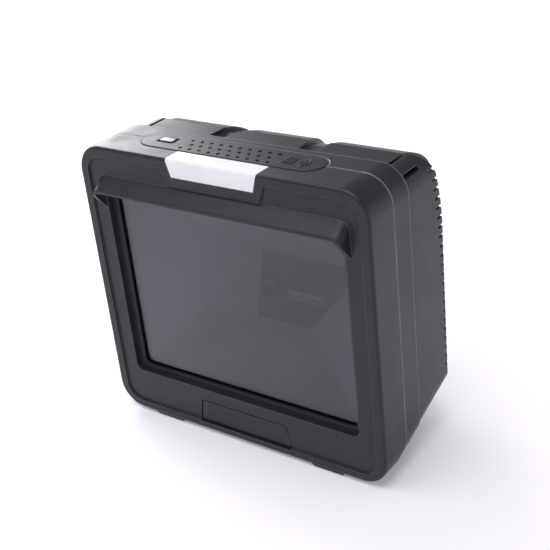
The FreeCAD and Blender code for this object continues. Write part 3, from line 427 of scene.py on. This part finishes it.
# ---- floor --------------------------------------------------------------------------------
FLOOR_HALF = 4.0
FLOOR_CELLS = 8
FLOOR_SHADES = ((0.86, 0.86, 0.86), (0.88, 0.88, 0.88))
FLOOR_GLOW = (0.22, 1.0)         # near the object and far from it
FLOOR_GLOW_REACH = (0.8, 2.4)    # from the middle, where the glow starts to rise and where it is full
FLOOR_PATCH = 250.0 * MM
FLOOR_TOOTH = 2.0 * MM
FLOOR_TOOTH_DEPTH = 0.02 * MM


def floor_material():
    """Matt white paper sweep with a faint tooth."""
    made = Shader("floor_paper")
    colour = made.blend(made.ramp(made.noise(FLOOR_PATCH), 0.0, 1.0), *FLOOR_SHADES)
    made.link(colour, made.shader.inputs["Base Color"])
    made.set(Roughness=0.9, Emission_Color=WORLD_TINT)
    away = made.add("ShaderNodeVectorMath", operation="LENGTH")
    made.link(made.coordinates, away.inputs["Vector"])
    glow = made.ramp(away.outputs["Value"], *FLOOR_GLOW, *FLOOR_GLOW_REACH)
    made.link(glow, made.shader.inputs["Emission Strength"])
    made.bump(made.noise(FLOOR_TOOTH), FLOOR_TOOTH_DEPTH)
    return made.material


def add_mesh(name, builder, material):
    """Object from a bmesh, with one material."""
    mesh = bpy.data.meshes.new(name)
    builder.to_mesh(mesh)
    builder.free()
    mesh.materials.append(material)
    made = bpy.data.objects.new(name, mesh)
    scene.collection.objects.link(made)
    return made


def add_floor():
    builder = bmesh.new()
    bmesh.ops.create_grid(builder, x_segments=FLOOR_CELLS, y_segments=FLOOR_CELLS, size=FLOOR_HALF)
    return add_mesh("floor", builder, floor_material())


add_floor()


# ---- turned parts -------------------------------------------------------------------------
TURN_SEGMENTS = 64
STEP = 0.12 * MM         # spacing of rings where a thread or knurl needs them


def turned(builder, centre, profile, relief, closed):
    """Adds a part turned about an axis along +Y. profile holds (radius, y) pairs; relief moves
    each point by what it returns for (radius, angle, y): a change of radius and a change of y."""
    rings = []
    for radius, y in profile:
        ring = []
        for i in range(TURN_SEGMENTS):
            angle = 2 * math.pi * i / TURN_SEGMENTS
            outward, along = relief(radius, angle, y)
            reach = radius + outward
            ring.append(builder.verts.new(centre + Vector((reach * math.cos(angle), y + along,
                                                           reach * math.sin(angle)))))
        rings.append(ring)
    pairs = list(zip(rings, rings[1:]))
    if closed:
        pairs.append((rings[-1], rings[0]))
    else:
        builder.faces.new(rings[0])
        builder.faces.new(list(reversed(rings[-1])))
    for first, second in pairs:
        for i in range(TURN_SEGMENTS):
            j = (i + 1) % TURN_SEGMENTS
            builder.faces.new((first[i], second[i], second[j], first[j]))


def steps(start, end):
    """Values from start to end, about STEP apart."""
    count = max(1, round(abs(end - start) / STEP))
    return [start + (end - start) * i / count for i in range(count + 1)]


def finish_turned(name, builder, node):
    """Smooth piece from the builder, riding on the case in place of the CAD node."""
    bmesh.ops.recalc_face_normals(builder, faces=builder.faces)
    for face in builder.faces:
        face.smooth = True
    made = add_mesh(name, builder, FINISH[slots[node]])
    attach(made, "case")
    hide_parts(node)


def four_places(node, radius):
    """Centres of four equal round parts that a node holds in a rectangle."""
    low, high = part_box(node)
    return [Vector((x, 0.0, z)) for x in (low.x + radius, high.x - radius)
            for z in (low.z + radius, high.z - radius)]


SCREW_HEAD_R = 2.9 * MM
SCREW_HEAD_TALL = 2.4 * MM
SCREW_SHANK_R = 1.5 * MM
SCREW_PITCH = 0.9 * MM
THREAD_DEPTH = 0.22 * MM
CROSS_HALF_WIDTH = 0.42 * MM
CROSS_REACH = 1.75 * MM
CROSS_DEPTH = 1.3 * MM
CROSS_SLOPE = 0.75       # the recess loses this share of its depth towards its rim
HEAD_DOME = 0.7 * MM
HEAD_CROWN = 0.97        # the dome reaches this share of the head's radius
HEAD_ROLL = 1.3          # the head's rim starts this many domes below its top
POLE_R = 0.03 * MM       # radius of the flat at the middle of the head
TIP_LONG = 2.0 * MM
TIP_BLUNT = 0.1 * MM


def helix(angle, y, pitch):
    """Height of a thread, 0 to 1, at an angle round the part and a place along it."""
    turn = (y / pitch + angle / (2 * math.pi)) % 1.0
    return 1.0 - abs(2.0 * turn - 1.0)


def cross_depth(radius, angle):
    """Depth of a cross recess whose arms get shallower outwards."""
    across = min(abs(radius * math.cos(angle)), abs(radius * math.sin(angle)))
    if across > CROSS_HALF_WIDTH or radius > CROSS_REACH:
        return 0.0
    return CROSS_DEPTH * (1.0 - CROSS_SLOPE * radius / CROSS_REACH)


def add_case_screws():
    """Pan-head screws with a cross recess and a coarse plastic-cutting thread."""
    low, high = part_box("case_screws")
    top = high.y
    seat = top - SCREW_HEAD_TALL
    profile = [(POLE_R, top)]
    profile += [(r, top - HEAD_DOME * (r / SCREW_HEAD_R) ** 2)
                for r in steps(5 * POLE_R, SCREW_HEAD_R * HEAD_CROWN)]
    profile += [(SCREW_HEAD_R, top - HEAD_DOME * HEAD_ROLL), (SCREW_HEAD_R, seat), (SCREW_SHANK_R, seat)]
    profile += [(SCREW_SHANK_R, y) for y in steps(seat - STEP, low.y + TIP_LONG)]
    profile += [(SCREW_SHANK_R * (y - low.y) / TIP_LONG, y)
                for y in steps(low.y + TIP_LONG - STEP, low.y + TIP_BLUNT)]

    def relief(radius, angle, y):
        if y > seat:
            return 0.0, -cross_depth(radius, angle)
        if y < seat - SCREW_PITCH and radius > THREAD_DEPTH:
            return THREAD_DEPTH * (helix(angle, y, SCREW_PITCH) - 1.0), 0.0
        return 0.0, 0.0

    builder = bmesh.new()
    for place in four_places("case_screws", SCREW_HEAD_R):
        turned(builder, place, profile, relief, False)
    finish_turned("case_screws_threaded", builder, "case_screws")


INSERT_R = 2.8 * MM
INSERT_BORE_R = 1.65 * MM
INSERT_PITCH = 0.7 * MM
KNURL_COUNT = 28
KNURL_DEPTH = 0.2 * MM
KNURL_TWIST = 900.0      # radians of twist per metre
WAIST_HALF = 0.5 * MM
INSERT_CHAMFER = 0.3 * MM


def add_inserts():
    """Brass inserts: two knurled bands outside and a metric thread inside."""
    low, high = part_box("mount_inserts")
    middle = (low.y + high.y) / 2
    waist = (middle - WAIST_HALF, middle + WAIST_HALF)
    chamfer = INSERT_CHAMFER
    profile = [(INSERT_BORE_R + chamfer, high.y), (INSERT_R - chamfer, high.y)]
    profile += [(INSERT_R, y) for y in steps(high.y - chamfer, low.y + chamfer)]
    profile += [(INSERT_R - chamfer, low.y), (INSERT_BORE_R + chamfer, low.y)]
    profile += [(INSERT_BORE_R, y) for y in steps(low.y + chamfer, high.y - chamfer)]

    def relief(radius, angle, y):
        if radius == INSERT_BORE_R:
            return THREAD_DEPTH * helix(angle, y, INSERT_PITCH), 0.0
        if radius < INSERT_R:
            return 0.0, 0.0
        if waist[0] < y < waist[1]:
            return -2 * KNURL_DEPTH, 0.0
        twist = KNURL_TWIST * y
        one = math.sin(KNURL_COUNT * (angle + twist))
        other = math.sin(KNURL_COUNT * (angle - twist))
        return -KNURL_DEPTH * (1.0 - max(one, other, 0.0)), 0.0

    builder = bmesh.new()
    for place in four_places("mount_inserts", INSERT_R):
        turned(builder, place, profile, relief, True)
    finish_turned("mount_inserts_knurled", builder, "mount_inserts")


add_case_screws()
add_inserts()


# ---- socket contacts ----------------------------------------------------------------------
CONTACT_COUNT = 8
CONTACT_R = 0.19 * MM
CONTACT_LIFT = 2.5 * MM
CONTACT_ROUTE = [
    # share of the way in from the socket's mouth, share of the lift
    (0.0, 0.0), (0.12, 0.0), (0.2, 0.08), (0.7, 0.9), (0.85, 1.0),
]


def add_contacts():
    """Gold spring wires that lie on the socket's floor and rise towards its back."""
    low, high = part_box("socket_contacts")
    curve = bpy.data.curves.new("socket_contact_wires", "CURVE")
    curve.dimensions = "3D"
    curve.bevel_depth = CONTACT_R
    curve.bevel_resolution = 3
    curve.resolution_u = 8
    curve.use_fill_caps = True
    floor_z = low.z + CONTACT_R
    long = high.y - low.y
    route = [(high.y - long * along, floor_z + CONTACT_LIFT * up) for along, up in CONTACT_ROUTE]
    route.append((low.y + CONTACT_R, floor_z + CONTACT_LIFT))
    for i in range(CONTACT_COUNT):
        x = low.x + CONTACT_R + (high.x - low.x - 2 * CONTACT_R) * i / (CONTACT_COUNT - 1)
        spline = curve.splines.new("NURBS")
        spline.points.add(len(route) - 1)
        for point, (y, z) in zip(spline.points, route):
            point.co = (x, y, z, 1.0)
        spline.order_u = 3
        spline.use_endpoint_u = True
    curve.materials.append(FINISH[slots["socket_contacts"]])
    wires = bpy.data.objects.new("socket_contact_wires", curve)
    scene.collection.objects.link(wires)
    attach(wires, "case")
    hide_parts("socket_contacts")


add_contacts()
